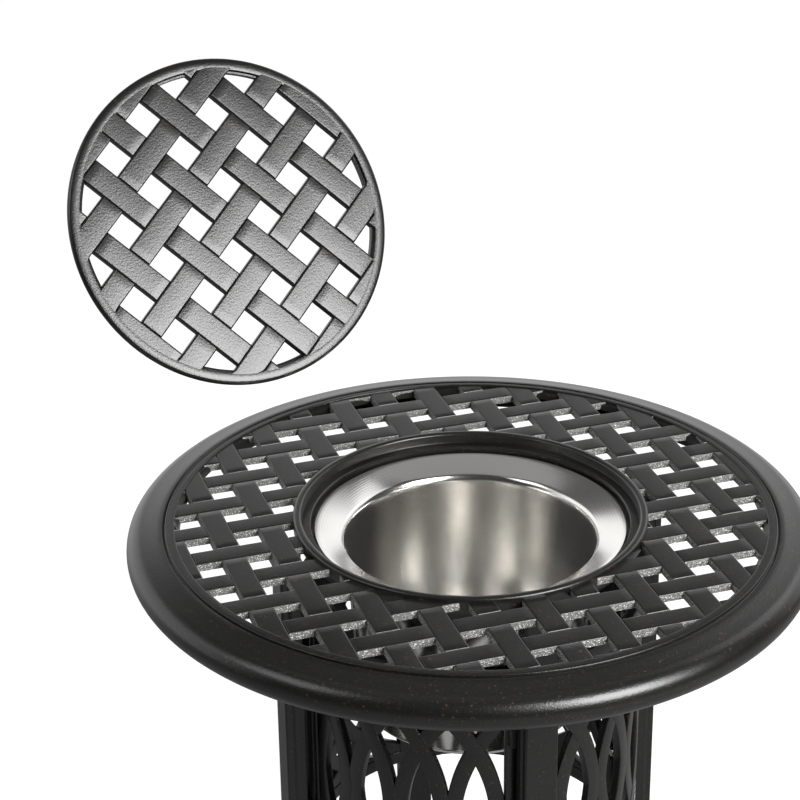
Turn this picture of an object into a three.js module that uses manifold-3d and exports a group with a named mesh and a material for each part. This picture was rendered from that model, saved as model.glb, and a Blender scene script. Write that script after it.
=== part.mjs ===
// Round patio coffee table in cast aluminium: a basket-weave top with a raised collar, a spun steel ice
// bucket hanging in the collar, a round basket-weave lid that has been lifted off and turned to face the
// front, and a drum base: four hollow legs, with four curved panels of intersecting arches bolted between them.
// Units are millimetres, +Z is up, and the origin lies on the floor under the middle of the top.
// The near post stands on -Y. The strips of the weave run along X and Y.
import * as THREE from "three";
import { ConvexGeometry } from "three/addons/geometries/ConvexGeometry.js";
import * as BufferGeometryUtils from "three/addons/utils/BufferGeometryUtils.js";
import Module from "manifold-3d";

// Table top: heights are taken down from the top of the woven strips.
const tableHeight = 480;
const tableRadius = 266.7;
const rollRadius = 13.8;
const rollDrop = 3.4;
const rollWall = 5;
const grooveWidth = 1.5;
const grooveDepth = 1.4;
const innerRingRadius = 229.2;
const innerRingWidth = 7.3;
const innerRingRise = 0.8;
const innerRingChamfer = 1;
const plateThickness = 6.5;
const rimWeb = 7;
const rimLap = 4;

// Weave of the top: flat strips that cross over and under each other.
const pitchX = 38.3;
const pitchY = 39.1;
const stripWidth = 18.6;
const stripRise = 1.2;
const stripBevel = 1.2;
const stripRelief = 0.25;
const castingLap = 0.5;

// Collar: a raised ring with one ledge for the lid and a lower one for the bucket.
const collarRadius = 137.6;
const collarRise = 3;
const collarRound = 1.6;
const lidSeatRadius = 131.2;
const lidThickness = 7;
const lidSink = 1;
const bucketSeatRadius = 124;
const bucketSeatDrop = 12.6;
const bucketHoleRadius = 118.6;
const collarFloor = 5.4;
const collarFoot = 6.6;
const seatGap = 0.3;

// Lid: a bead round a disc of the same weave.
const lidRadius = 130.5;
const lidBeadWidth = 9.6;
const lidBeadRound = 2.4;
const lidPitch = 40.4;
const lidStripWidth = 19.7;
const lidAzimuth = 8.06;
const lidTilt = 30.99;
const lidSpin = 130.6;
const lidCentreX = -139.3;
const lidCentreY = 165.8;
const lidLift = 200.9;

// Ice bucket: one spun steel sheet.
const bucketRimRadius = 121.6;
const bucketLipWidth = 4;
const bucketBowlRadius = 97.4;
const bucketShoulderDrop = 11.5;
const bucketFootRadius = 85;
const bucketDepth = 150;
const bucketSheet = 1;
const bucketCorner = 16;
const bucketCurl = 1.2;

// Legs: hollow box sections with a step down each side, closed by a web at each end.
const postFaceRadius = 157.5;
const postDepth = 15.5;
const postFaceHalfWidth = 13;
const postFaceChamfer = 1;
const postStepDepth = 5.8;
const postStepWidth = 1.4;
const postWall = 3;
const postWeb = 6;
const postBossThickness = 12;
const postBossLength = 20;
const postBossWidth = 30;

// Panels: bars of intersecting arches between two rails and two stiles, all bent round the drum. They mirror
// top to bottom, and hang from lugs behind the legs, clear of the floor.
const panelRadius = 136.6;
const panelThickness = 8;
const baysPerPanel = 4;
const barWidth = 13;
const barLap = 5;
const barRecess = 0.6;
const archSteps = 4;
const railSteps = 7;
const archRadius = 132;
const springDrop = 195.6;
const panelDrop = 60;
const railHeight = 12;
const panelLift = 168;
const panelEndInset = 15;
const lugEndInset = 55;
const lugHeight = 20;
const lugInset = 3;
const lugFaceInset = 2.4;

// Fasteners and foot glides.
const topBoltRadius = 2.4;
const topBoltGrip = 9.5;
const panelBoltRadius = 2;
const panelBoltReach = 1;
const panelBoltInset = 7.5;
const headHeightShare = 1.3;
const headRadiusShare = 1.8;
const headGap = 0.1;
const boltSides = 6;
const boltClearance = 0.3;
const glideRadius = 7.2;
const glideHeight = 6;
const glideStemRadius = 3.5;
const glideStemHeight = 9;
const cutOverrun = 2;

const wasm = await Module();
wasm.setup();

const blackCoat = { color: 0x2b2b2a, roughness: 0.5, metalness: 0.2 };
const polishedSteel = { color: 0xd8d6d2, roughness: 0.12, metalness: 1 };
const zincPlate = { color: 0xb4b4b0, roughness: 0.35, metalness: 1 };
const blackNylon = { color: 0x161616, roughness: 0.6, metalness: 0 };

const table = new THREE.Group();
const up = new THREE.Vector3(0, 0, 1);

function addPiece(name, geometry, finish, group = table) {
  const mesh = new THREE.Mesh(geometry, new THREE.MeshStandardMaterial(finish));
  mesh.name = name;
  group.add(mesh);
  return mesh;
}

function closed(geometry) {
  const bare = geometry.clone();
  bare.deleteAttribute("normal");
  bare.deleteAttribute("uv");
  return BufferGeometryUtils.mergeVertices(bare);
}

function solid(geometry) {
  const mesh = closed(geometry);
  const vertProperties = new Float32Array(mesh.attributes.position.array);
  const triVerts = new Uint32Array(mesh.index.array);
  return new wasm.Manifold(new wasm.Mesh({ numProp: 3, vertProperties, triVerts }));
}

function toGeometry(body) {
  const mesh = body.getMesh();
  const geometry = new THREE.BufferGeometry();
  geometry.setAttribute("position", new THREE.BufferAttribute(new Float32Array(mesh.vertProperties), 3));
  geometry.setIndex(new THREE.BufferAttribute(new Uint32Array(mesh.triVerts), 1));
  return geometry;
}

function join(bodies) {
  return bodies.reduce((whole, body) => whole.add(body));
}

// Revolves a closed profile of [radius, height] pairs, listed counter-clockwise, about the Z axis.
function revolve(profile, sides) {
  const points = [...profile, profile[0]].map(([r, z]) => new THREE.Vector2(r, z));
  return new THREE.LatheGeometry(points, sides).rotateX(Math.PI / 2);
}

function block(x, y, z, width, length, height) {
  return new THREE.BoxGeometry(width, length, height).translate(x, y, z);
}

// An upright round or many-sided bar from one height to another.
function upright(radius, bottom, top, sides) {
  const bar = new THREE.CylinderGeometry(radius, radius, top - bottom, sides).rotateX(Math.PI / 2);
  return bar.translate(0, 0, (top + bottom) / 2);
}

// Points on an arc of a profile, from one angle to another in degrees, in equal steps.
function arcPoints(centreR, centreZ, radius, from, to, steps) {
  const points = [];
  for (let k = 0; k <= steps; k += 1) {
    const angle = THREE.MathUtils.degToRad(from + ((to - from) * k) / steps);
    points.push([centreR + radius * Math.cos(angle), centreZ + radius * Math.sin(angle)]);
  }
  return points;
}

// A flat pad with bevelled edges: the part of a strip that lies on top of the crossing strips.
function stripPad(x, y, width, length, top) {
  const corners = [];
  const low = top - stripRise - castingLap;
  for (const sideX of [-1, 1]) {
    for (const sideY of [-1, 1]) {
      const halfX = width / 2 - stripRelief;
      const halfY = length / 2 - stripRelief;
      corners.push(new THREE.Vector3(x + sideX * halfX, y + sideY * halfY, low));
      corners.push(new THREE.Vector3(x + sideX * (halfX - stripBevel), y + sideY * (halfY - stripBevel), top));
    }
  }
  return new ConvexGeometry(corners);
}

// A woven plate between two radii: a ring with square openings, and a pad on every crossing, whose strip
// runs from the edge of the last crossing strip to the edge of the next.
function weave(spaceX, spaceY, width, innerRadius, outerRadius, padOuterRadius, top, thickness, yOverShare) {
  const plateTop = top - stripRise;
  const plateBottom = top - thickness;
  const inner = Math.max(innerRadius, 0);
  const rim = [[outerRadius, plateBottom], [outerRadius, plateTop], [inner, plateTop], [inner, plateBottom]];
  let plate = solid(revolve(rim, weaveSides));
  const pads = [];
  const across = Math.ceil(outerRadius / spaceX) + 1;
  const along = Math.ceil(outerRadius / spaceY) + 1;
  for (let i = -across; i <= across; i += 1) {
    for (let j = -along; j <= along; j += 1) {
      const x = i * spaceX;
      const y = j * spaceY;
      const reachX = Math.hypot(Math.abs(x) + spaceX, Math.abs(y) + spaceY);
      const nearX = Math.hypot(Math.max(Math.abs(x) - spaceX, 0), Math.max(Math.abs(y) - spaceY, 0));
      if (nearX > outerRadius || reachX < inner) {
        continue;
      }
      const hole = block(x + spaceX / 2, y + spaceY / 2, top, spaceX - width, spaceY - width, 4 * thickness);
      plate = plate.subtract(solid(hole));
      const yOver = (i + j) % 2 === yOverShare;
      const padX = yOver ? width : 2 * spaceX - width;
      const padY = yOver ? 2 * spaceY - width : width;
      pads.push(solid(stripPad(x, y, padX, padY, top)));
    }
  }
  const high = top + cutOverrun;
  const low = top - thickness / 2;
  const field = [[padOuterRadius, low], [padOuterRadius, high], [inner, high], [inner, low]];
  return plate.add(join(pads).intersect(solid(revolve(field, weaveSides))));
}
const weaveSides = 36;
const rimSides = 36;
const collarSides = 36;
const bucketSides = 36;
const holeSides = 8;

// Table top: the rolled rim, the weave, the collar and four bosses are one casting.
const plateTop = tableHeight - stripRise;
const rollCentre = tableRadius - rollRadius;
const rollAxis = tableHeight - rollDrop - rollRadius;
const ringTop = tableHeight + innerRingRise;
const grooveFloor = tableHeight - grooveDepth;
const bandStart = innerRingRadius + innerRingWidth + grooveWidth;
const rimInner = innerRingRadius - rimLap;
const rimProfile = [
  ...arcPoints(rollCentre, rollAxis, rollRadius, -90, 90, 6),
  [bandStart, tableHeight - stripRelief],
  [bandStart - grooveWidth / 2, grooveFloor],
  [innerRingRadius + innerRingWidth, ringTop - innerRingChamfer],
  [innerRingRadius + innerRingWidth - innerRingChamfer, ringTop],
  [innerRingRadius + innerRingChamfer, ringTop],
  [innerRingRadius, ringTop - innerRingChamfer],
  [innerRingRadius - stripRelief, grooveFloor],
  [rimInner, grooveFloor],
  [rimInner, tableHeight - rimWeb],
  ...arcPoints(rollCentre, rollAxis, rollRadius - rollWall, 90, -90, 3),
];

const collarTop = tableHeight + collarRise;
const lidTop = collarTop - lidSink;
const lidLedge = lidTop - lidThickness - seatGap;
const bucketLedge = tableHeight - bucketSeatDrop;
const collarBottom = bucketLedge - collarFloor;
const collarProfile = [
  [collarRadius - collarFoot, collarBottom],
  [collarRadius, tableHeight - plateThickness - castingLap],
  [collarRadius, collarTop - collarRound],
  [collarRadius - collarRound, collarTop],
  [lidSeatRadius + collarRound, collarTop],
  [lidSeatRadius, collarTop - collarRound],
  [lidSeatRadius, lidLedge],
  [bucketSeatRadius, lidLedge],
  [bucketSeatRadius, bucketLedge],
  [bucketHoleRadius, bucketLedge],
  [bucketHoleRadius, collarBottom],
];

const plateBottom = tableHeight - plateThickness;
const bossBottom = plateBottom - postBossThickness;
const postBack = postFaceRadius - postDepth;
const postBoltRadius = (postFaceRadius + postBack) / 2;
const weaveInner = (collarRadius + lidSeatRadius) / 2;
const weaveOuter = innerRingRadius + rimLap / 2;
const padOuter = innerRingRadius - grooveWidth;
const topWeave = weave(pitchX, pitchY, stripWidth, weaveInner, weaveOuter, padOuter, tableHeight, plateThickness, 0);
let top = join([topWeave, solid(revolve(rimProfile, rimSides)), solid(revolve(collarProfile, collarSides))]);
const postAngles = [0, 90, 180, 270].map((turn) => THREE.MathUtils.degToRad(turn));
const boltHoleTop = bossBottom + topBoltGrip + boltClearance;
for (const angle of postAngles) {
  const bossTop = plateBottom + castingLap;
  const bossMiddle = (bossTop + bossBottom) / 2;
  const boss = block(0, -postBoltRadius, bossMiddle, postBossWidth, postBossLength, bossTop - bossBottom);
  const hole = upright(topBoltRadius + boltClearance, bossBottom - cutOverrun, boltHoleTop, holeSides);
  top = top.add(solid(boss.rotateZ(angle)));
  top = top.subtract(solid(hole.translate(0, -postBoltRadius, 0).rotateZ(angle)));
}
addPiece("tabletop", toGeometry(top), blackCoat);

// Lid: built flat with its top at zero, then stood up in front of the camera side where it was lifted to.
const lidEdge = [
  [lidRadius - lidBeadRound / 2, -lidThickness],
  [lidRadius, -lidThickness + lidBeadRound],
  [lidRadius, -lidBeadRound],
  [lidRadius - lidBeadRound, 0],
  [lidRadius - lidBeadWidth + lidBeadRound / 2, 0],
  [lidRadius - lidBeadWidth, -stripBevel],
  [lidRadius - lidBeadWidth - grooveWidth, -grooveDepth],
  [lidRadius - lidBeadWidth - grooveWidth, -lidThickness],
];
const lidPadOuter = lidRadius - lidBeadWidth - grooveWidth;
const lidPlateOuter = lidRadius - lidBeadWidth / 2;
const lidWeave = weave(lidPitch, lidPitch, lidStripWidth, 0, lidPlateOuter, lidPadOuter, 0, plateThickness, 0);
const lid = lidWeave.add(solid(revolve(lidEdge, collarSides)));
const lidGroup = new THREE.Group();
const tilt = THREE.MathUtils.degToRad(lidTilt);
const azimuth = THREE.MathUtils.degToRad(lidAzimuth);
const lidNormal = new THREE.Vector3(
  Math.sin(azimuth) * Math.cos(tilt),
  -Math.cos(azimuth) * Math.cos(tilt),
  Math.sin(tilt),
);
const lidSide = new THREE.Vector3().crossVectors(up, lidNormal).normalize();
lidSide.applyAxisAngle(lidNormal, THREE.MathUtils.degToRad(lidSpin));
const lidAcross = new THREE.Vector3().crossVectors(lidNormal, lidSide);
lidGroup.quaternion.setFromRotationMatrix(new THREE.Matrix4().makeBasis(lidSide, lidAcross, lidNormal));
lidGroup.position.set(lidCentreX, lidCentreY, tableHeight + lidLift);
table.add(lidGroup);
addPiece("lid", toGeometry(lid), blackCoat, lidGroup);

// Ice bucket: the flat lip rests on the lower ledge, a wide cone falls to the bowl, and the bowl tapers to
// a rounded foot. The outside is listed first and the inside runs back one sheet away.
const lipUnder = bucketLedge + seatGap;
const bowlEdge = lipUnder - bucketShoulderDrop;
const bucketFloor = lipUnder - bucketDepth;
const coneInner = bucketRimRadius - bucketLipWidth;
const footArc = arcPoints(bucketFootRadius - bucketCorner, bucketFloor + bucketCorner, bucketCorner, -90, 0, 4);
const footInside = arcPoints(
  bucketFootRadius - bucketCorner,
  bucketFloor + bucketCorner,
  bucketCorner - bucketSheet,
  0,
  -90,
  4,
);
const bucketProfile = [
  [0, bucketFloor],
  ...footArc,
  [bucketBowlRadius + bucketSheet, bowlEdge],
  [coneInner, lipUnder],
  [bucketRimRadius, lipUnder],
  [bucketRimRadius, lipUnder + bucketSheet + bucketCurl],
  [bucketRimRadius - bucketCurl, lipUnder + bucketSheet + bucketCurl],
  [coneInner, lipUnder + bucketSheet],
  [bucketBowlRadius, bowlEdge + bucketSheet],
  ...footInside,
  [0, bucketFloor + bucketSheet],
];
const bucketPoints = bucketProfile.map(([r, z]) => new THREE.Vector2(r, z));
addPiece("ice_bucket", new THREE.LatheGeometry(bucketPoints, bucketSides).rotateX(Math.PI / 2), polishedSteel);

// Legs: a stepped box section extruded from the glide to the boss.
const postTop = bossBottom - seatGap;
const postFoot = glideHeight + seatGap;
const postHalf = postFaceHalfWidth + postStepWidth;
const stepRadius = postFaceRadius - postStepDepth;
const hollowHalf = postFaceHalfWidth - postWall;
const halfSection = [
  [postFaceHalfWidth - postFaceChamfer, postFaceRadius],
  [postFaceHalfWidth, postFaceRadius - postFaceChamfer],
  [postFaceHalfWidth, stepRadius],
  [postHalf, stepRadius - postStepWidth],
  [postHalf, postBack],
];
const halfHollow = [
  [hollowHalf, postFaceRadius - postWall],
  [hollowHalf, postBack + postWall],
];

// Extrudes a section drawn as one half, [sideways, radius], between two heights at the near post.
function mirroredBar(half, bottom, top) {
  const right = half.map(([t, r]) => new THREE.Vector2(t, -r));
  const left = half.map(([t, r]) => new THREE.Vector2(-t, -r)).reverse();
  const bar = new THREE.ExtrudeGeometry(new THREE.Shape([...right, ...left]), {
    depth: top - bottom,
    bevelEnabled: false,
  });
  return bar.translate(0, 0, bottom);
}

// The hole for one panel bolt, at the near post, seen from inside the drum as left or right of the middle.
const panelTop = tableHeight - panelDrop;
const lugHeights = [panelTop - lugEndInset, panelLift + lugEndInset];
const lugOuter = postBack - seatGap;
const lugFace = panelRadius - panelThickness + lugFaceInset;
const panelBoltEnd = postBack + postWall + panelBoltReach;
function panelBoltBore(side, height) {
  const radius = panelBoltRadius + boltClearance;
  const from = lugFace - cutOverrun;
  const to = panelBoltEnd + cutOverrun;
  const bore = new THREE.CylinderGeometry(radius, radius, to - from, holeSides);
  return solid(bore.translate(side * panelBoltInset, -(from + to) / 2, height));
}

const box = solid(mirroredBar(halfSection, postFoot, postTop));
const hollow = solid(mirroredBar(halfHollow, postFoot + postWeb, postTop - postWeb));
const boltBore = upright(topBoltRadius + boltClearance, postTop - 2 * postWeb, postTop + cutOverrun, holeSides);
const stemBore = upright(glideStemRadius + boltClearance, 0, postFoot + 2 * postWeb, holeSides);
let post = box
  .subtract(hollow)
  .subtract(solid(boltBore.translate(0, -postBoltRadius, 0)))
  .subtract(solid(stemBore.translate(0, -postBoltRadius, 0)));
for (const side of [-1, 1]) {
  for (const height of lugHeights) {
    post = post.subtract(panelBoltBore(side, height));
  }
}
const postGeometry = toGeometry(post);
const postNames = ["front", "right", "back", "left"];
postAngles.forEach((angle, k) => {
  addPiece(`post_${postNames[k]}`, postGeometry, blackCoat).rotation.z = angle;
});

// Panels: the bars are drawn flat, joined, then bent round the drum between two rails and two stiles. Each bar
// rises from a mullion, leans over in a quarter circle to the top rail, and does the same downwards.
const bays = 20;
const bayAngle = (2 * Math.PI) / bays;
const bayWidth = bayAngle * panelRadius;
const panelAngle = baysPerPanel * bayAngle;
const archTop = tableHeight - springDrop;
const barThickness = panelThickness - 2 * barRecess;
const barOffset = (barWidth - barLap) / 2;

// One edge of a bar, from the top rail to the panel's middle, where the mirrored lower half takes over.
function archEdge(centre, radius) {
  const fieldMiddle = (panelTop + panelLift) / 2;
  const meet = THREE.MathUtils.radToDeg(Math.asin((fieldMiddle - archTop) / radius));
  const upper = arcPoints(centre, archTop, radius, 90, 180 - meet, archSteps);
  const lower = upper.map(([x, z]) => [x, 2 * fieldMiddle - z]).reverse();
  return [...upper, ...lower.slice(1)];
}

function archBar(springing, lean) {
  const centre = barOffset + archRadius;
  const outer = archEdge(centre, archRadius + barWidth / 2);
  const inner = archEdge(centre, archRadius - barWidth / 2).reverse();
  const outline = [...outer, ...inner].map(([x, z]) => new THREE.Vector2(springing + lean * x, z));
  return new THREE.ExtrudeGeometry(new THREE.Shape(outline), { depth: barThickness, bevelEnabled: false });
}

// Wraps a flat drawing round the drum: x runs along the arc, y is height, z is depth from the inner face.
function bend(geometry, innerRadius) {
  const bent = geometry.clone();
  const spots = bent.attributes.position;
  for (let k = 0; k < spots.count; k += 1) {
    const angle = spots.getX(k) / panelRadius - panelAngle / 2;
    const radius = innerRadius + spots.getZ(k);
    spots.setXYZ(k, radius * Math.cos(angle), radius * Math.sin(angle), spots.getY(k));
  }
  return bent;
}

// A plate bent round the drum between two angles and two heights.
function bentPlate(from, to, bottom, top, steps) {
  const start = THREE.MathUtils.radToDeg(from);
  const end = THREE.MathUtils.radToDeg(to);
  const outline = [
    ...arcPoints(0, 0, panelRadius, start, end, steps),
    ...arcPoints(0, 0, panelRadius - panelThickness, end, start, steps),
  ].map(([x, y]) => new THREE.Vector2(x, y));
  const plate = new THREE.ExtrudeGeometry(new THREE.Shape(outline), { depth: top - bottom, bevelEnabled: false });
  return solid(plate.translate(0, 0, bottom));
}

const bars = [];
for (let k = 0; k < baysPerPanel; k += 1) {
  bars.push(solid(archBar(k * bayWidth, 1)));
  bars.push(solid(archBar((k + 1) * bayWidth, -1)));
}
const panelWidth = baysPerPanel * bayWidth;
const fieldMiddle = (panelTop + panelLift) / 2;
const fieldHeight = panelTop - panelLift - railHeight;
const window = block(panelWidth / 2, fieldMiddle, 0, panelWidth, fieldHeight, 4 * panelThickness);
const lattice = bend(toGeometry(join(bars).intersect(solid(window))), panelRadius - panelThickness + barRecess);
const legAngle = (panelAngle + bayAngle) / 2;
const stileAngle = panelAngle / 2 - castingLap / panelRadius;
let panel = join([
  solid(lattice),
  bentPlate(-legAngle, legAngle, panelTop - railHeight, panelTop, railSteps),
  bentPlate(-legAngle, legAngle, panelLift, panelLift + railHeight, railSteps),
  bentPlate(-legAngle, -stileAngle, panelLift, panelTop, 1),
  bentPlate(stileAngle, legAngle, panelLift, panelTop, 1),
]);
const lugLap = panelEndInset + castingLap;
for (const side of [-1, 1]) {
  const turn = Math.PI / 2 + side * legAngle;
  const room = block(0, -postFaceRadius / 2, tableHeight / 2, 2 * panelEndInset, postFaceRadius, tableHeight);
  panel = panel.subtract(solid(room.rotateZ(turn)));
  for (const height of lugHeights) {
    const lugMiddle = (-side * (lugInset + lugLap)) / 2;
    const lugWidth = lugLap - lugInset;
    const lug = block(lugMiddle, -(lugFace + lugOuter) / 2, height, lugWidth, lugOuter - lugFace, lugHeight);
    panel = panel.add(solid(lug.rotateZ(turn)));
    panel = panel.subtract(panelBoltBore(-side, height).rotate(0, 0, THREE.MathUtils.radToDeg(turn)));
  }
}

// Bolts run from a six-sided head at their start along their own +Z.
function bolt(radius, grip) {
  const head = headHeightShare * radius;
  const wide = headRadiusShare * radius;
  const profile = [[0, -head], [wide, -head], [wide, 0], [radius, 0], [radius, grip], [0, grip]];
  return new THREE.LatheGeometry(profile.map(([r, z]) => new THREE.Vector2(r, z)), boltSides).rotateX(Math.PI / 2);
}

function placeBolt(name, radius, grip, start, direction) {
  const piece = addPiece(name, bolt(radius, grip), zincPlate);
  piece.position.copy(start);
  piece.quaternion.setFromUnitVectors(up, direction.clone().normalize());
}

// A point or direction given at the near post, turned to another angle of the drum.
function turned(x, y, z, angle) {
  return new THREE.Vector3(x, y, z).applyAxisAngle(up, angle);
}

// Each panel hangs on four bolts that run outwards through its lugs into the backs of the two legs beside it.
const panelNames = ["front_right", "back_right", "back_left", "front_left"];
const panelGeometry = toGeometry(panel);
panelNames.forEach((name, k) => {
  const middle = postAngles[k] - Math.PI / 4;
  addPiece(`panel_${name}`, panelGeometry, blackCoat).rotation.z = middle;
  let count = 0;
  for (const side of [-1, 1]) {
    const turn = middle + Math.PI / 2 + side * legAngle;
    for (const height of lugHeights) {
      count += 1;
      const start = turned(-side * panelBoltInset, -lugFace + headGap, height, turn);
      const outward = turned(0, -1, 0, turn);
      placeBolt(`panel_bolt_${name}_${count}`, panelBoltRadius, panelBoltEnd - lugFace, start, outward);
    }
  }
});

// Each post takes a bolt up into its boss and a glide in its foot.
const glideProfile = [
  [0, 0],
  [glideRadius - castingLap, 0],
  [glideRadius, castingLap],
  [glideRadius, glideHeight],
  [glideStemRadius, glideHeight],
  [glideStemRadius, glideHeight + glideStemHeight],
  [0, glideHeight + glideStemHeight],
].map(([r, z]) => new THREE.Vector2(r, z));
postAngles.forEach((angle, k) => {
  const boltStart = turned(0, -postBoltRadius, postTop - postWeb - headGap, angle);
  placeBolt(`top_bolt_${postNames[k]}`, topBoltRadius, topBoltGrip, boltStart, up);
  const glide = addPiece(
    `glide_${postNames[k]}`,
    new THREE.LatheGeometry(glideProfile, 2 * boltSides).rotateX(Math.PI / 2),
    blackNylon,
  );
  glide.position.copy(turned(0, -postBoltRadius, 0, angle));
});

export default table;
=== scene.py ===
"""Looks of a round patio coffee table: a cast basket-weave top with a rolled rim, a spun steel ice bucket
in a collar at its centre, a woven lid that has been lifted off, and four legs round a drum of arches."""

import bpy
import numpy as np
from mathutils import Matrix


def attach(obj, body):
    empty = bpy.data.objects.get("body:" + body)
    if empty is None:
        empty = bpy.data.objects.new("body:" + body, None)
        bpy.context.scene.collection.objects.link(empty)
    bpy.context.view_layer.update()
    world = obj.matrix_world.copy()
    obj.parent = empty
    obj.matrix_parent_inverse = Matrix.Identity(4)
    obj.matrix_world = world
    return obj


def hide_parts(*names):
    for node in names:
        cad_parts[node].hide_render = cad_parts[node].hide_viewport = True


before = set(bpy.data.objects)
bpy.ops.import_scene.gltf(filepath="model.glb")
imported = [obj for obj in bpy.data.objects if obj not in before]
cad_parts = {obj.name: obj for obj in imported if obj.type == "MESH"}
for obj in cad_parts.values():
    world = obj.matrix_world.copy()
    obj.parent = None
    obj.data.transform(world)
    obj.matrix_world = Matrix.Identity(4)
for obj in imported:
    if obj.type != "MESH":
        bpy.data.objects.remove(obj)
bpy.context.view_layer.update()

# Table top: one aluminium casting, black powder coated. Planks of flat strip cross over and under each other
# between two rings, a rolled rim closes the outside, and a raised collar stands round the middle hole.
# All sizes are in millimetres, and heights in an outline are taken from the top of the planks.
MM = 0.001
TABLE_HEIGHT = 480.0
TABLE_RADIUS = 266.7
ROLL_RADIUS = 13.8
ROLL_WALL = 5.0
ROLL_DEPTH = 17.2
RING_OUTER = 236.4
RING_INNER = 229.2
RING_HEIGHT = 0.8
RING_ROUND = 0.7
PITCH_X = 38.3
PITCH_Y = 39.1
STRIP_WIDTH = 18.6
WEAVE_INNER = 138.5
WEAVE_OUTER = 228.5
WEAVE_LAP = 4.0
LEAST_RADIUS = 0.001
PLANK_THICKNESS = 6.5
PLANK_EDGE_WIDTH = 1.5
PLANK_EDGE_DROP = 1.15
PLANK_END_WIDTH = 0.7
PLANK_END_DROP = 2.3
PLANK_ROUNDNESS = 0.94
PLANK_INSETS = np.array([0, 0.08, 0.25, 0.5, 0.8, 1.05])
PLANK_MIDDLE_LINES = 7
PLANK_WALL_FALL = 3.0
COLLAR_RADIUS = 137.6
COLLAR_HEIGHT = 3.0
COLLAR_DEPTH = 18.0
LID_SEAT_RADIUS = 131.2
LID_LEDGE_DEPTH = 5.3
BUCKET_SEAT_RADIUS = 124.0
BUCKET_LEDGE_DEPTH = 12.6
COLLAR_HOLE_RADIUS = 118.6
BOSS_HALF_WIDTH = 15.0
BOSS_INNER_HALF_WIDTH = 9.2
BOSS_OUTER = 159.8
BOSS_WAIST = 147.4
BOSS_INNER = 139.8
BOSS_CHAMFER = np.array([2.0, 1.8])
BOSS_DEPTH = 18.5
BOSS_SINK = 0.5
RIM_SIDES = 288
COLLAR_SIDES = 192
BRONZE = (0.07, 0.036, 0.026, 1)
GRAIN_RANGE = (0.56, 0.74)
FLECK_RANGE = (0.63, 0.76)
FLECK_SIZE = 420.0
PEEL_DEPTH = 0.2


def add_mesh(name, points, faces, materials, sharp_degrees=38.0, slots=None):
    """One object from points in millimetres and lists of corner numbers, smooth but for its sharp edges.
    slots numbers the material of each face where a piece has more than one."""
    mesh = bpy.data.meshes.new(name)
    mesh.from_pydata((np.asarray(points) * MM).tolist(), [], [list(map(int, face)) for face in faces])
    mesh.validate()
    mesh.shade_smooth()
    mesh.set_sharp_from_angle(angle=np.radians(sharp_degrees))
    for material in materials if isinstance(materials, list) else [materials]:
        mesh.materials.append(material)
    if slots is not None:
        mesh.polygons.foreach_set("material_index", np.asarray(slots, dtype=np.int32))
    piece = bpy.data.objects.new(name, mesh)
    bpy.context.scene.collection.objects.link(piece)
    return piece


def joined(parts):
    """Puts several (points, faces) pairs into one, counting each part's corner numbers on from the last."""
    points, faces, start = [], [], 0
    for part_points, part_faces in parts:
        points.append(part_points)
        faces.extend(np.asarray(face) + start for face in part_faces)
        start += len(part_points)
    return np.vstack(points), faces


def loop_faces(rows, columns, close_rows=False):
    """Quads of a grid whose columns close on themselves, and whose rows do too where asked. The corners of
    quad (i, j) are i n + j, i n + j + 1, (i + 1) n + j + 1 and (i + 1) n + j, with n columns."""
    row = np.arange(rows if close_rows else rows - 1)[:, None]
    column = np.arange(columns)[None, :]
    after = (row + 1) % rows
    beside = (column + 1) % columns
    near = (row * columns + column, row * columns + beside)
    far = (after * columns + beside, after * columns + column)
    return np.stack(np.broadcast_arrays(*near, *far), -1).reshape(-1, 4)


def arc(centre_r, centre_z, radius, start, end, steps):
    """Points of a circle in the plane of radius and height, between two angles in degrees:
    r = centre_r + radius cos a, z = centre_z + radius sin a."""
    angle = np.radians(np.linspace(start, end, steps))
    return np.c_[centre_r + radius * np.cos(angle), centre_z + radius * np.sin(angle)]


def revolved(profile, sides, closed=True):
    """A profile of radius and height turned about Z: x = r cos a, y = r sin a. The profile runs with the
    solid on its left, and closes on itself or starts and ends on the axis."""
    angle = np.arange(sides) * 2 * np.pi / sides
    r, z = np.asarray(profile, float).T
    rings = [np.outer(r, np.cos(angle)), np.outer(r, np.sin(angle)), np.repeat(z[:, None], sides, 1)]
    return np.stack(rings, -1).reshape(-1, 3), loop_faces(len(r), sides, closed)


def extruded(outline, low, high):
    """A flat outline, listed counter-clockwise, carried straight up from one height to another."""
    count = len(outline)
    points = np.vstack([np.c_[outline, np.full(count, low)], np.c_[outline, np.full(count, high)]])
    number = np.arange(count)
    walls = np.c_[number, np.roll(number, -1), np.roll(number, -1) + count, number + count]
    return points, [*walls, number[::-1], number + count]


def turned(points, degrees):
    """Points turned about Z: x' = x cos a - y sin a, y' = x sin a + y cos a."""
    cosine, sine = np.cos(np.radians(degrees)), np.sin(np.radians(degrees))
    return points @ np.array([[cosine, sine, 0], [-sine, cosine, 0], [0, 0, 1]])


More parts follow.
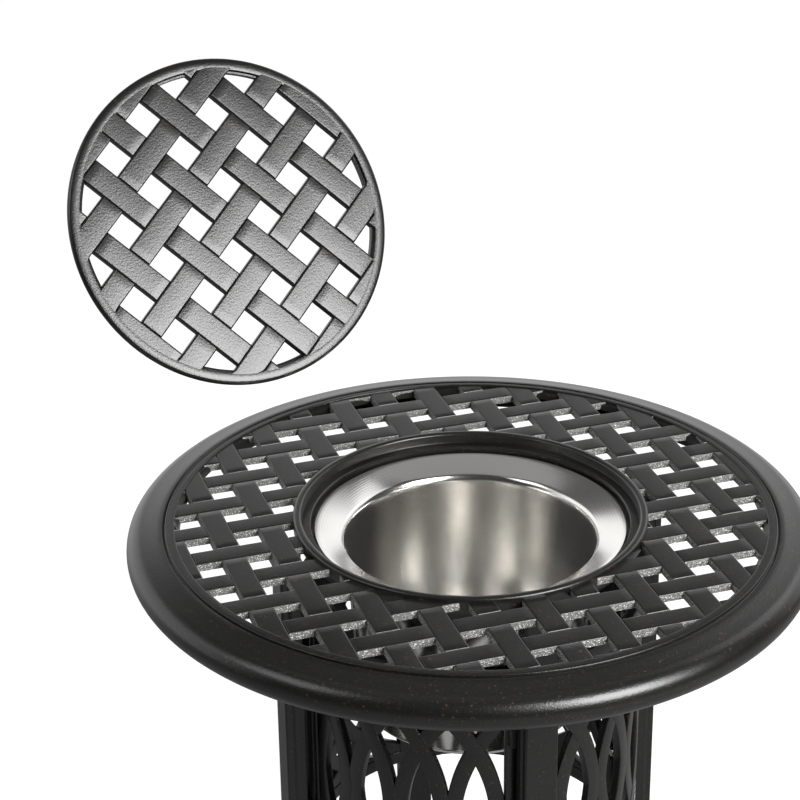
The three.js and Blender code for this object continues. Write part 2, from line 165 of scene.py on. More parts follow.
def plank_grid(half_across, half_along):
    """One plank lying along Y. A grid of inset lines carries the top, which rounds off towards each side, and
    more steeply at both ends: z = -drop (1 - sqrt(1 - k f^2)), where f grows from 0 to 1 across the rounding
    and k is its roundness. A wall falls from its border to a flat underside."""
    side = half_across - PLANK_EDGE_WIDTH * PLANK_INSETS
    end = half_along - PLANK_END_WIDTH * PLANK_INSETS
    middle = np.linspace(-1, 1, PLANK_MIDDLE_LINES + 2)[1:-1] * end[-1]
    x, y = np.meshgrid(np.r_[-side, 0, side[::-1]], np.r_[-end, middle, end[::-1]])
    side_share = 1 - np.clip((half_across - np.abs(x)) / PLANK_EDGE_WIDTH, 0, 1)
    end_share = 1 - np.clip((half_along - np.abs(y)) / PLANK_END_WIDTH, 0, 1)
    side_drop = PLANK_EDGE_DROP * (1 - np.sqrt(1 - PLANK_ROUNDNESS * side_share**2))
    end_drop = PLANK_END_DROP * (1 - np.sqrt(1 - PLANK_ROUNDNESS * end_share**2))
    z = -np.maximum(side_drop, end_drop)
    rows, columns = x.shape
    number = np.arange(rows * columns).reshape(rows, columns)
    quads = np.stack([number[:-1, :-1], number[:-1, 1:], number[1:, 1:], number[1:, :-1]], -1).reshape(-1, 4)
    border = np.r_[number[0, :-1], number[:-1, -1], number[-1, :0:-1], number[:0:-1, 0]]
    top = np.c_[x.ravel(), y.ravel(), z.ravel()]
    low = np.c_[top[border, :2], np.full(len(border), -PLANK_THICKNESS)]
    below = len(top) + np.arange(len(border))
    wall = np.c_[border, below, np.roll(below, -1), np.roll(border, -1)]
    return np.vstack([top, low]), [*quads, *wall, below[::-1]]


def woven(pitch_x, pitch_y, width, inner, outer, lap):
    """All planks of a weave whose middle crossing is at the centre. Plank (i, j) lies along Y where i + j is
    even and along X where it is odd, covers its own crossing and runs on both ways to the strips beside it.
    A point further past the inner or outer radius than the lap is drawn back to it, inside the ring there."""
    parts = []
    reach_x = int(outer / pitch_x) + 2
    reach_y = int(outer / pitch_y) + 2
    for i in range(-reach_x, reach_x + 1):
        for j in range(-reach_y, reach_y + 1):
            along_y = (i + j) % 2 == 0
            points, faces = plank_grid(width / 2, (pitch_y if along_y else pitch_x) - width / 2)
            if not along_y:
                points = points[:, [1, 0, 2]] * [1, -1, 1]
            points = points + [i * pitch_x, j * pitch_y, 0]
            distance = np.hypot(points[:, 0], points[:, 1])
            if distance.min() > outer or distance.max() < inner:
                continue
            drawn = np.clip(distance, max(inner - lap, 0), outer + lap)
            points[:, :2] *= (drawn / np.maximum(distance, LEAST_RADIUS))[:, None]
            parts.append((points, faces))
    return joined(parts)


def ring_section():
    """Outline of the rim as radius and height: the rolled edge, a sloping flat band, a groove, a narrow
    raised ring, a groove on its inner side, and the hollow underside of the roll."""
    roll_centre = (TABLE_RADIUS - ROLL_RADIUS, -ROLL_DEPTH)
    roll = arc(*roll_centre, ROLL_RADIUS, -90, 84, 34)
    under_roll = arc(*roll_centre, ROLL_RADIUS - ROLL_WALL, 88, -90, 20)
    band = [[10.6, -1.9], [6.6, -1.0], [3.2, -0.35]]
    groove = [[2.0, -0.5], [1.2, -1.6], [0.5, -1.9], [0.0, -1.6]]
    inner_side = [[0.0, -1.7], [-0.6, -2.0], [-3.2, -2.6], [-4.0, -7.0], [8.8, -7.2]]
    # The outer shoulder runs outwards from the crest, against the outline, and leaves a fold of 0.7 mm there.
    outer_shoulder = arc(RING_OUTER - RING_ROUND, RING_HEIGHT - RING_ROUND, RING_ROUND, 90, 0, 5)
    inner_shoulder = arc(RING_INNER + RING_ROUND, RING_HEIGHT - RING_ROUND, RING_ROUND, 90, 180, 5)
    outside = np.array([*band, *groove]) + [RING_OUTER, 0]
    inside = np.array(inner_side) + [RING_INNER, 0]
    return np.vstack([roll, outside, outer_shoulder, inner_shoulder, inside, under_roll])


def collar_section():
    """Outline of the collar as radius and height: a wall with a rounded crest, and inside it two ledges, for
    the lid and for the bucket. Each small list holds the steps of one rounded corner from that corner."""
    crest_round = np.array([[0.0, -1.8], [0.3, -0.9], [1.0, -0.3], [2.0, 0.0]])
    outer_foot = np.array([COLLAR_RADIUS, -COLLAR_DEPTH]) + [[-6.6, 0.0], [-0.4, 10.0], [0.0, 11.0]]
    outer_crest = np.array([COLLAR_RADIUS, COLLAR_HEIGHT]) + crest_round * [-1, 1]
    inner_crest = np.array([LID_SEAT_RADIUS, COLLAR_HEIGHT]) + crest_round[::-1]
    lid_corner = np.array([LID_SEAT_RADIUS, -LID_LEDGE_DEPTH]) + [[0.0, 0.6], [-0.3, 0.0]]
    lid_edge = np.array([BUCKET_SEAT_RADIUS, -LID_LEDGE_DEPTH]) + [[0.6, 0.0], [0.1, -0.4], [0.0, -1.1]]
    bucket_corner = np.array([BUCKET_SEAT_RADIUS, -BUCKET_LEDGE_DEPTH]) + [[0.0, 0.4], [-0.4, 0.0]]
    bucket_edge = np.array([COLLAR_HOLE_RADIUS, -BUCKET_LEDGE_DEPTH]) + [[0.6, 0.0], [0.0, -0.4]]
    hole_foot = np.array([COLLAR_HOLE_RADIUS, -COLLAR_DEPTH]) + [[0.0, 0.4], [0.4, 0.0]]
    wall = [outer_foot, outer_crest, inner_crest]
    return np.vstack([*wall, lid_corner, lid_edge, bucket_corner, bucket_edge, hole_foot])


def boss_blocks():
    """Four blocks under the weave, one for each leg to be bolted up against. Their inner corners are cut
    away, so that the openings above stay open."""
    half = np.array([
        [BOSS_HALF_WIDTH - BOSS_CHAMFER[0], -BOSS_OUTER],
        [BOSS_HALF_WIDTH, -BOSS_OUTER + BOSS_CHAMFER[1]],
        [BOSS_HALF_WIDTH, -BOSS_WAIST],
        [BOSS_INNER_HALF_WIDTH, -BOSS_WAIST],
        [BOSS_INNER_HALF_WIDTH, -BOSS_INNER],
    ])
    outline = np.vstack([half, half[::-1] * [-1, 1]])
    points, faces = extruded(outline, -BOSS_DEPTH, BOSS_SINK - PLANK_THICKNESS)
    return [(turned(points, quarter * 90), faces) for quarter in range(4)]


def feed(tree, node, inputs):
    """Puts a plain value, or the output of another node, into each of the inputs that are named."""
    for socket, value in inputs.items():
        if isinstance(value, bpy.types.NodeSocket):
            tree.links.new(value, node.inputs[socket])
        else:
            node.inputs[socket].default_value = value


def wired(tree, kind, inputs, **settings):
    """A new node with its settings and its inputs. What comes back is its outputs."""
    node = tree.nodes.new(kind)
    for setting, value in settings.items():
        setattr(node, setting, value)
    feed(tree, node, inputs)
    return node.outputs


def ranged(tree, value, start, end, low=0.0, high=1.0):
    """Carries a value from one range to another, and holds it at both ends."""
    limits = {"From Min": start, "From Max": end, "To Min": low, "To Max": high}
    return wired(tree, "ShaderNodeMapRange", {"Value": value, **limits})["Result"]


def object_place(tree):
    """The place on the piece, in metres."""
    return tree.nodes.new("ShaderNodeTexCoord").outputs["Object"]


def noise(tree, place, scale, detail=2.0):
    """Soft noise from 0 to 1 with so many waves to the metre, and so many finer layers."""
    return wired(tree, "ShaderNodeTexNoise", {"Vector": place, "Scale": scale, "Detail": detail})["Fac"]


def new_material(name):
    """An empty material, its tree of nodes and its shader."""
    material = bpy.data.materials.new(name)
    material.use_nodes = True
    return material, material.node_tree, material.node_tree.nodes["Principled BSDF"]


def speckle_group():
    """Orange peel and fine flecks of a powder coat: a small noise lifts the surface, and a sharper one picks
    out pale grains. A coarser noise picks out sparse flecks of bronze."""
    group = bpy.data.node_groups.new("powder_grain", "ShaderNodeTree")
    for name, default in (("Peel Size", 650.0), ("Grain Size", 1500.0), ("Grain Share", 0.3)):
        socket = group.interface.new_socket(name, in_out="INPUT", socket_type="NodeSocketFloat")
        socket.default_value = default
    for name in ("Height", "Grain", "Fleck"):
        group.interface.new_socket(name, in_out="OUTPUT", socket_type="NodeSocketFloat")
    asked = group.nodes.new("NodeGroupInput").outputs
    place = object_place(group)
    peel = noise(group, place, asked["Peel Size"], detail=2.0)
    sharp = noise(group, place, asked["Grain Size"], detail=1.0)
    coarse = noise(group, place, FLECK_SIZE, detail=3.0)
    grain = ranged(group, sharp, *GRAIN_RANGE, high=asked["Grain Share"])
    fleck = ranged(group, coarse, *FLECK_RANGE)
    feed(group, group.nodes.new("NodeGroupOutput"), {"Height": peel, "Grain": grain, "Fleck": fleck})
    return group


powder_grain = speckle_group()


def coated(name, dark, pale, roughness, grain_share, grain_size, bump):
    """A powder coat: a dark base mixed towards a paler grain, then bronze, with orange peel as its bump."""
    material, tree, shader = new_material(name)
    asked = {"Grain Share": grain_share, "Grain Size": grain_size}
    grain = wired(tree, "ShaderNodeGroup", asked, node_tree=powder_grain)
    shades = {"Factor": grain["Grain"], "A": (*dark, 1), "B": (*pale, 1)}
    tone = wired(tree, "ShaderNodeMix", shades, data_type="RGBA")["Result"]
    flecks = {"Factor": grain["Fleck"], "A": tone, "B": BRONZE}
    flecked = wired(tree, "ShaderNodeMix", flecks, data_type="RGBA")["Result"]
    peel = {"Height": grain["Height"], "Strength": bump, "Distance": PEEL_DEPTH * MM}
    lift = wired(tree, "ShaderNodeBump", peel)["Normal"]
    feed(tree, shader, {"Base Color": flecked, "Roughness": roughness, "Normal": lift})
    return material


black_coat = coated("black_powder_coat", dark=(0.005, 0.005, 0.0048), pale=(0.05, 0.043, 0.037),
                    roughness=0.28, grain_share=0.3, grain_size=1500.0, bump=0.6)
# The plank walls: a grain from dark grey to near white. The grain stands for their rough cast surface, and
# its pale grey is a painted reflection of the bright surroundings on black coat.
rough_wall_painted_reflection = coated("rough_cast_wall_painted_reflection", dark=(0.1, 0.1, 0.097), pale=(0.8, 0.8, 0.78),
                     roughness=0.5, grain_share=1.0, grain_size=1100.0, bump=0.8)

weave = woven(PITCH_X, PITCH_Y, STRIP_WIDTH, WEAVE_INNER, WEAVE_OUTER, WEAVE_LAP)
rim = revolved(ring_section(), RIM_SIDES)
collar = revolved(collar_section(), COLLAR_SIDES)
top_points, top_faces = joined([weave, rim, collar, *boss_blocks()])
# The walls of the planks are rough as cast, and their pale grey is a painted reflection of the bright
# surroundings: they are the upright quads of the weave, which comes first.
wall_slots = [int(k < len(weave[1]) and len(face) == 4 and np.ptp(top_points[face][:, 2]) > PLANK_WALL_FALL)
              for k, face in enumerate(top_faces)]
top_points = top_points + [0, 0, TABLE_HEIGHT]
tabletop = add_mesh("tabletop_casting", top_points, top_faces, [black_coat, rough_wall_painted_reflection], slots=wall_slots)
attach(tabletop, "table")
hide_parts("tabletop")

# Lid: a disc of the same weave with a rounded bead, cast in one piece and coated like the top. It lifts off
# the collar, and stands where the photograph shows it, turned to face the camera.
LID_RADIUS = 130.5
LID_PITCH = 40.4
LID_STRIP_WIDTH = 19.7
LID_WEAVE_RADIUS = 120.2
LID_WEAVE_LAP = 2.3
LID_BEAD_RADIUS = 3.2
LID_BEAD_DEPTH = 3.5
LID_SIDES = 224
lid_normal = np.array([0.12019, -0.84876, 0.51489])
lid_side = -np.array([0.69926, -0.29576, -0.65069])
lid_side -= lid_normal * (lid_side @ lid_normal)
lid_side /= np.linalg.norm(lid_side)
lid_turn = np.column_stack([lid_side, np.cross(lid_normal, lid_side), lid_normal])
lid_place = np.array([-139.3, 165.8, TABLE_HEIGHT + 200.9])


def bead_section():
    """Outline of the lid's bead as radius and height: a half-round edge, a flat crest and a groove before the
    planks. The inner side is listed from the lid's outer radius."""
    outer_side = arc(LID_RADIUS - LID_BEAD_RADIUS, -LID_BEAD_DEPTH, LID_BEAD_RADIUS, -80, 80, 14)
    inner_side = [[-8.6, 0.0], [-9.4, -0.3], [-9.9, -1.2], [-10.4, -2.2], [-11.6, -2.6], [-11.9, -6.8]]
    return np.vstack([outer_side, np.array(inner_side) + [LID_RADIUS, 0.0]])


lid_weave = woven(LID_PITCH, LID_PITCH, LID_STRIP_WIDTH, 0.0, LID_WEAVE_RADIUS, LID_WEAVE_LAP)
lid_points, lid_faces = joined([lid_weave, revolved(bead_section(), LID_SIDES)])
lid = add_mesh("woven_lid", lid_points @ lid_turn.T + lid_place, lid_faces, black_coat)
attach(lid, "lid")
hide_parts("lid")

# Ice bucket: one spun stainless sheet, polished. A curled lip lies on the collar's lower ledge, a flange
# falls towards the middle and rolls over into the bowl, and the bowl runs down to a rounded foot.
BUCKET_PLAY = 0.3
BUCKET_DEPTH = 156.0
BUCKET_SHEET = 1.0
LIP_RADIUS = 121.6
BOWL_RADIUS = 98.0
FOOT_RADIUS = 89.0
FOOT_ROUND = 8.0
BUCKET_SIDES = 192
STEEL = (0.74, 0.73, 0.71, 1)
STEEL_ROUGHNESS = (0.12, 0.24)
HAZE_SIZE = 14.0
RINGS_SIZE = 160.0
RINGS_WANDER = 0.6
RINGS_STRENGTH = 0.05
RINGS_DEPTH = 0.2


def bucket_section():
    """Outline of the sheet as radius and height: the outside from the axis to the lip, then the inside back.
    The flange's rolled edge is listed from the bowl's outer radius, and the curled lip from its own."""
    top = TABLE_HEIGHT - BUCKET_LEDGE_DEPTH + BUCKET_PLAY
    foot = top - BUCKET_DEPTH
    foot_centre = (FOOT_RADIUS - FOOT_ROUND, foot + FOOT_ROUND)
    foot_outside = arc(*foot_centre, FOOT_ROUND, -90, -6, 10)
    foot_inside = arc(*foot_centre, FOOT_ROUND - BUCKET_SHEET, -6, -90, 10)
    roll = [[0.0, -16.0], [0.2, -12.8], [0.6, -10.6], [1.5, -8.7], [2.6, -7.5], [3.8, -6.7]]
    roll_inside = [[3.2, -5.7], [1.8, -6.6], [0.6, -8.0], [-0.4, -10.2], [-0.8, -12.6], [-1.0, -15.5]]
    lip_under = [[-4.4, -0.3], [-3.2, 0.0], [-0.6, 0.0], [0.0, 0.7]]
    lip_over = [[0.0, 1.6], [-0.6, 2.2], [-2.0, 1.9], [-4.4, 0.9]]
    outside = [[[0, foot]], foot_outside, np.array(roll) + [BOWL_RADIUS, top]]
    inside = [np.array(roll_inside) + [BOWL_RADIUS, top], foot_inside, [[0, foot + BUCKET_SHEET]]]
    return np.vstack([*outside, np.array([*lip_under, *lip_over]) + [LIP_RADIUS, top], *inside])


def spun_steel():
    """Polished steel with the fine rings that spinning leaves: a wave on the distance from the axis lifts
    the surface, and a broad haze changes its roughness."""
    material, tree, shader = new_material("spun_steel")
    place = object_place(tree)
    wave = {"Vector": place, "Scale": RINGS_SIZE, "Distortion": RINGS_WANDER}
    rings = wired(tree, "ShaderNodeTexWave", wave, wave_type="RINGS", rings_direction="Z")["Fac"]
    ripple = {"Height": rings, "Strength": RINGS_STRENGTH, "Distance": RINGS_DEPTH * MM}
    lift = wired(tree, "ShaderNodeBump", ripple)["Normal"]
    haze = ranged(tree, noise(tree, place, HAZE_SIZE), 0.0, 1.0, *STEEL_ROUGHNESS)
    feed(tree, shader, {"Base Color": STEEL, "Metallic": 1.0, "Roughness": haze, "Normal": lift})
    return material


bucket_points, bucket_faces = revolved(bucket_section(), BUCKET_SIDES, closed=False)
bucket = add_mesh("ice_bucket_shell", bucket_points, bucket_faces, spun_steel(), sharp_degrees=50.0)
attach(bucket, "bucket")
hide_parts("ice_bucket")

# Legs: four box sections with a step down each side, coated like the top and bolted up into it. Each stands
# on one of the two axes of the weave. The real ones are hollow, but bosses and glides close their ends.
POST_TOP = 461.2
POST_FOOT = 6.3
POST_FRONT = 157.5
POST_BACK = 142.0
POST_FACE_HALF_WIDTH = 13.0
POST_FACE_DEPTH = 5.8
POST_STEP = 1.4
POST_CHAMFER = 1.0
POST_EDGE_ROUND = 0.6


def post_outline():
    """One leg from above, counter-clockwise, with its face towards -Y: half of it and its mirror image."""
    half = np.array([
        [POST_FACE_HALF_WIDTH - POST_CHAMFER, -POST_FRONT],
        [POST_FACE_HALF_WIDTH, -POST_FRONT + POST_CHAMFER],
        [POST_FACE_HALF_WIDTH, -POST_FRONT + POST_FACE_DEPTH],
        [POST_FACE_HALF_WIDTH + POST_STEP, -POST_FRONT + POST_FACE_DEPTH + POST_STEP],
        [POST_FACE_HALF_WIDTH + POST_STEP, -POST_BACK],
    ])
    return np.vstack([half, half[::-1] * [-1, 1]])


def bevelled(piece, width, segments=2):
    """Rounds a piece's edges by the same small radius."""
    bevel = piece.modifiers.new("edge_round", "BEVEL")
    bevel.width = width * MM
    bevel.segments = segments
    bevel.limit_method = "ANGLE"
    bevel.angle_limit = np.radians(35)
    return piece


post_points, post_faces = extruded(post_outline(), POST_FOOT, POST_TOP)
for name, degrees in (("front", 0), ("right", 90), ("back", 180), ("left", 270)):
    points = turned(post_points, degrees)
    post = add_mesh(f"post_{name}_bar", points, post_faces, black_coat, sharp_degrees=30.0)
    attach(bevelled(post, POST_EDGE_ROUND), "table")
    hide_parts(f"post_{name}")

# Panels: four cast grilles bent to the drum. From each mullion one bar leans right and one leans left, each
# in an arc up to the top rail and again down to the bottom rail, and the bars cross in between. Stiles close
# the ends, and lugs behind the legs carry the grille.
DRUM_RADIUS = 136.0
PANEL_DEGREES = 72.0
PANEL_BAYS = 4
PANEL_TOP = TABLE_HEIGHT - 60.0
PANEL_FOOT = 168.0
BAR_WIDTH = 12.7
BAR_ROUND = 0.9
BAR_OVERRUN = 1.2
LEFT_BAR_THICKNESS = 6.6
RIGHT_BAR_THICKNESS = 6.2
RIGHT_BAR_SINK = 0.3
ARCH_RADIUS = 132.0
ARCH_CENTRE = TABLE_HEIGHT - 195.6
ARCH_START = 103.0
ARCH_SPREAD = 4.0
RAIL_WIDTH = 12.0
RAIL_THICKNESS = 8.0
RAIL_PROUD = 0.6
RAIL_ROUND = 1.0
RAIL_STEPS = 70
STILE_REACH = 10.4
STILE_THICKNESS = 7.9
LUG_OUTER = 141.7
LUG_INNER = 131.0
LUG_START = 3.0
LUG_END = 19.0
LUG_CHAMFER_OUTER = 1.0
LUG_CHAMFER_INNER = 0.8
LUG_HALF_HEIGHT = 10.0
LUG_INSET = 55.0
LUG_TURN = 45.0
panel_length = DRUM_RADIUS * np.radians(PANEL_DEGREES)
bay = panel_length / PANEL_BAYS


def drum_bar(path, width, outer_radius, thickness, corner, overrun=BAR_OVERRUN):
    """A flat bar wrapped on the drum. A rounded rectangle, across the path and through the thickness, is
    carried along a path drawn on the unrolled drum: angle = arc length / drum radius."""
    steps = np.gradient(path, axis=0)
    across = np.c_[steps[:, 1], -steps[:, 0]] / np.hypot(*steps.T)[:, None]
    out, deep = width / 2 - corner, thickness / 2 - corner
    quarters = (((out, deep), 0), ((-out, deep), 90), ((-out, -deep), 180), ((out, -deep), 270))
    section = np.vstack([arc(*centre, corner, start, start + 90, 4) for centre, start in quarters])
    flat = path[:, None, :] + across[:, None, :] * section[None, :, :1]
    angle = (np.clip(flat[..., 0], -overrun, panel_length + overrun) - panel_length / 2) / DRUM_RADIUS
    radius = outer_radius - thickness / 2 + section[None, :, 1]
    points = np.stack([radius * np.cos(angle), radius * np.sin(angle), flat[..., 1]], -1).reshape(-1, 3)
    count = len(section)
    end = np.arange(count)
    last = (len(path) - 1) * count
    return points, [*loop_faces(len(path), count)[:, ::-1], end, (end + last)[::-1]]


def arch_path(springing, lean):
    """Centre line of one bar on the unrolled drum: an arc from the top rail down to the panel's middle, and
    its mirror image from there to the bottom rail. It starts a little beside the middle of its mullion, so
    that the two bars of a mullion overlap."""
    middle = (PANEL_TOP + PANEL_FOOT) / 2
    meet = 180 - np.degrees(np.arcsin((middle - ARCH_CENTRE) / ARCH_RADIUS))
    upper = arc(ARCH_SPREAD + ARCH_RADIUS, ARCH_CENTRE, ARCH_RADIUS, ARCH_START, meet, 46)
    lower = (upper * [1, -1] + [0, 2 * middle])[::-1]
    line = np.vstack([upper, lower[1:]])
    return np.c_[springing + lean * line[:, 0], line[:, 1]]


def lug_outline():
    """One lug from above, counter-clockwise, beside the middle line of a leg on +X. The two corners next to
    that line are chamfered."""
    return np.array([
        [LUG_OUTER, LUG_START + LUG_CHAMFER_OUTER],
        [LUG_OUTER, LUG_END],
        [LUG_INNER, LUG_END],
        [LUG_INNER, LUG_START + LUG_CHAMFER_INNER],
        [LUG_INNER + LUG_CHAMFER_INNER, LUG_START],
        [LUG_OUTER - LUG_CHAMFER_OUTER, LUG_START],
    ])


def panel_mesh():
    """The eight bars, two rails, two stiles and four lugs of one panel, centred on +X. The bars that lean
    right lie a little deeper than those that lean left, so that no two faces share one place."""
    parts = []
    right_bar = (BAR_WIDTH, DRUM_RADIUS - RIGHT_BAR_SINK, RIGHT_BAR_THICKNESS, BAR_ROUND)
    left_bar = (BAR_WIDTH, DRUM_RADIUS, LEFT_BAR_THICKNESS, BAR_ROUND)
    for k in range(PANEL_BAYS):
        parts.append(drum_bar(arch_path(k * bay, 1), *right_bar))
        parts.append(drum_bar(arch_path((k + 1) * bay, -1), *left_bar))
    rail = (DRUM_RADIUS + RAIL_PROUD, RAIL_THICKNESS, RAIL_ROUND, STILE_REACH)
    along = np.linspace(-STILE_REACH, panel_length + STILE_REACH, RAIL_STEPS)
    for level in (PANEL_TOP - RAIL_WIDTH / 2, PANEL_FOOT + RAIL_WIDTH / 2):
        parts.append(drum_bar(np.c_[along, np.full(RAIL_STEPS, level)], RAIL_WIDTH, *rail))
    stile = (DRUM_RADIUS + RAIL_PROUD, STILE_THICKNESS, RAIL_ROUND, STILE_REACH)
    stile_middle = (STILE_REACH + BAR_OVERRUN) / 2
    upright = np.linspace(PANEL_FOOT, PANEL_TOP, 3)
    for middle in (-stile_middle, panel_length + stile_middle):
        parts.append(drum_bar(np.c_[np.full(3, middle), upright], STILE_REACH - BAR_OVERRUN, *stile))
    near, far = lug_outline(), (lug_outline() * [1, -1])[::-1]
    for level in (PANEL_TOP - LUG_INSET, PANEL_FOOT + LUG_INSET):
        for outline, degrees in ((near, -LUG_TURN), (far, LUG_TURN)):
            points, faces = extruded(outline, level - LUG_HALF_HEIGHT, level + LUG_HALF_HEIGHT)
            parts.append((turned(points, degrees), faces))
    return joined(parts)


panel_points, panel_faces = panel_mesh()
for name, degrees in (("front_right", -45), ("back_right", 45), ("back_left", 135), ("front_left", 225)):
    points = turned(panel_points, degrees)
    panel = add_mesh(f"panel_{name}_grille", points, panel_faces, black_coat, sharp_degrees=40.0)
    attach(panel, "table")
    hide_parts(f"panel_{name}")

# Bolts and glides: bright zinc-plated bolts with six-sided heads hold the panels to the backs of the legs
# and the legs to the top. Nylon glides carry the legs. Both keep the frame's solids and get a finish here.
ZINC = (0.62, 0.62, 0.6, 1)
ZINC_ROUGHNESS = (0.2, 0.45)
ZINC_SPOT_SIZE = 400.0


def zinc_plate():
    """Bright zinc whose roughness changes from spot to spot with a fine noise."""
    material, tree, shader = new_material("zinc_plate")
    spots = noise(tree, object_place(tree), ZINC_SPOT_SIZE)
    roughness = ranged(tree, spots, 0.0, 1.0, *ZINC_ROUGHNESS)
    feed(tree, shader, {"Base Color": ZINC, "Metallic": 1.0, "Roughness": roughness})
    return material


bolt_finish = zinc_plate()
glide_finish = coated("glide_nylon", dark=(0.012, 0.012, 0.012), pale=(0.03, 0.03, 0.03),
                      roughness=0.6, grain_share=0.2, grain_size=1500.0, bump=0.1)
for name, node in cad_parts.items():
    if "bolt" in name or name.startswith("glide"):
        node.data.materials.clear()
        node.data.materials.append(bolt_finish if "bolt" in name else glide_finish)

# Floor: a plain white ground. It is lit a little, for a faint shadow, and glows by itself so that it looks
# white to the camera. Mirrored in the table it glows more the further back it lies. Lengths are in metres.
FLOOR_REACH = 9.0
FLOOR_GREY = (0.25, 0.25, 0.25, 1)
FLOOR_ROUGHNESS = 0.9
FLOOR_GLOW = 0.9
FLOOR_SWEEP_START = 0.5
FLOOR_SWEEP_END = 2.5
FLOOR_NEAR_SHARE = 0.06


def calculated(tree, operation, *values):
    """Puts plain numbers or the outputs of other nodes through one Math node."""
    return wired(tree, "ShaderNodeMath", dict(enumerate(values)), operation=operation)["Value"]


def white_floor():
    """Pale grey plus a glow of strength g (camera + (glossy + transmission) s), held at g, where s grows from
    the near share to 1 along Y."""
    material, tree, shader = new_material("white_floor")
    feed(tree, shader, {"Base Color": FLOOR_GREY, "Roughness": FLOOR_ROUGHNESS})
    ray = tree.nodes.new("ShaderNodeLightPath").outputs
    depth = wired(tree, "ShaderNodeSeparateXYZ", {"Vector": object_place(tree)})["Y"]
    sweep = ranged(tree, depth, FLOOR_SWEEP_START, FLOOR_SWEEP_END, FLOOR_NEAR_SHARE)
    mirrored = calculated(tree, "ADD", ray["Is Glossy Ray"], ray["Is Transmission Ray"])
    seen = calculated(tree, "MULTIPLY_ADD", mirrored, sweep, ray["Is Camera Ray"])
    glow = wired(tree, "ShaderNodeEmission", {"Strength": ranged(tree, seen, 0.0, 1.0, high=FLOOR_GLOW)})
    both = wired(tree, "ShaderNodeAddShader", {0: shader.outputs["BSDF"], 1: glow["Emission"]})
    feed(tree, tree.nodes["Material Output"], {"Surface": both["Shader"]})
    return material


floor_mesh = bpy.data.meshes.new("floor")
floor_corners = [(x * FLOOR_REACH, y * FLOOR_REACH, 0) for x, y in ((-1, -1), (1, -1), (1, 1), (-1, 1))]
floor_mesh.from_pydata(floor_corners, [], [(0, 1, 2, 3)])
floor_mesh.materials.append(white_floor())
floor = bpy.data.objects.new("floor", floor_mesh)
bpy.context.scene.collection.objects.link(floor)

# Surroundings: a studio that is dim but for a low white wall behind the table and a higher white screen at
# its right, which the coat and the steel mirror. The camera itself sees plain white.
WALL_SLOPE = 0.2
WALL_TOP = (0.445, 0.49)
WALL_SIDE = (-0.1, 0.4)
SCREEN_SIDE = (0.45, 0.6)
SCREEN_TOP = (0.48, 0.75)
UPPER_SHARE = 0.05
STUDIO_DIM = 0.05
STUDIO_BRIGHT = 1.3


def studio_world():
    """Strength by direction (x, y, z): dim + (bright - dim) max(wall, screen) side, where the wall falls off
    with 0.2 x + z, the screen grows with x and falls off with z, and side grows with y."""
    world = bpy.data.worlds.new("studio")
    world.use_nodes = True
    tree = world.node_tree
    direction = tree.nodes.new("ShaderNodeTexCoord").outputs["Generated"]
    way = wired(tree, "ShaderNodeSeparateXYZ", {"Vector": direction})
    slope = calculated(tree, "MULTIPLY_ADD", way["X"], WALL_SLOPE, way["Z"])
    wall = ranged(tree, slope, *WALL_TOP, 1.0, UPPER_SHARE)
    right = ranged(tree, way["X"], *SCREEN_SIDE)
    low = ranged(tree, way["Z"], *SCREEN_TOP, 1.0, 0.0)
    white = calculated(tree, "MAXIMUM", wall, calculated(tree, "MULTIPLY", right, low))
    share = calculated(tree, "MULTIPLY", white, ranged(tree, way["Y"], *WALL_SIDE))
    level = ranged(tree, share, 0.0, 1.0, STUDIO_DIM, STUDIO_BRIGHT)
    camera_ray = tree.nodes.new("ShaderNodeLightPath").outputs["Is Camera Ray"]
    strength = calculated(tree, "MAXIMUM", camera_ray, level)
    feed(tree, tree.nodes["Background"], {"Color": (1, 1, 1, 1), "Strength": strength})
    return world


bpy.context.scene.world = studio_world()

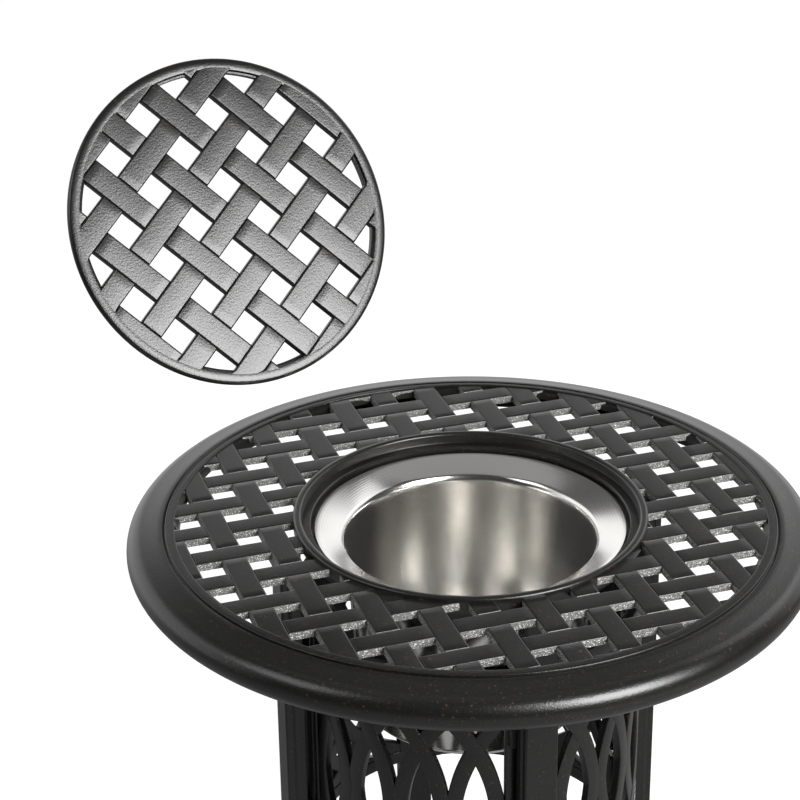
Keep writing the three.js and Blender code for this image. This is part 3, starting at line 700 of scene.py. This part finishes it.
# Lamps and camera: a wide soft key lamp over the front right, a fill from the left, a weak lamp at the right
# and a broad one under the ceiling. A long lens looks down at the table as in the photograph.
CAMERA_LENS = 104.76
CAMERA_SENSOR = 36.0
CAMERA_RIGHT = np.array([0.94956, -0.31336, -0.01214])
CAMERA_AHEAD = np.array([0.27748, 0.85760, -0.43304])
CAMERA_PLACE = np.array([-0.5406, -1.4976, TABLE_HEIGHT * MM + 0.8618])


def placed(holder, right, above, back, place):
    """Gives an object its three axes and its place, in metres, as one matrix."""
    matrix = np.eye(4)
    matrix[:3, :3] = np.column_stack([right, above, back])
    matrix[:3, 3] = place
    holder.matrix_world = Matrix(matrix.tolist())


def soft_lamp(name, place, aim_height, size, watts):
    """A square area lamp that looks from its place, in metres, at a height on the table's axis."""
    lamp = bpy.data.lights.new(name, "AREA")
    lamp.size = size
    lamp.energy = watts
    holder = bpy.data.objects.new(name, lamp)
    bpy.context.scene.collection.objects.link(holder)
    back = np.array(place) - [0, 0, aim_height]
    back /= np.linalg.norm(back)
    right = np.cross([0, 0, 1], back)
    right /= np.linalg.norm(right)
    placed(holder, right, np.cross(back, right), back, place)


soft_lamp("key_lamp", place=(0.706, -1.501, 1.427), aim_height=0.5, size=1.0, watts=68.0)
soft_lamp("fill_lamp", place=(-1.7, -0.15, 2.1), aim_height=0.45, size=1.0, watts=10.0)
soft_lamp("side_lamp", place=(1.75, 0.57, 2.0), aim_height=0.45, size=1.2, watts=5.0)
soft_lamp("ceiling_lamp", place=(0.1, 0.4, 3.2), aim_height=0.45, size=2.4, watts=4.5)

camera_data = bpy.data.cameras.new("camera")
camera_data.lens = CAMERA_LENS
camera_data.sensor_width = CAMERA_SENSOR
camera = bpy.data.objects.new("camera", camera_data)
bpy.context.scene.collection.objects.link(camera)
camera_above = np.cross(CAMERA_RIGHT, CAMERA_AHEAD)
camera_above /= np.linalg.norm(camera_above)
placed(camera, CAMERA_RIGHT, camera_above, -CAMERA_AHEAD, CAMERA_PLACE)
bpy.context.scene.camera = camera
bpy.context.scene.view_settings.view_transform = "Standard"
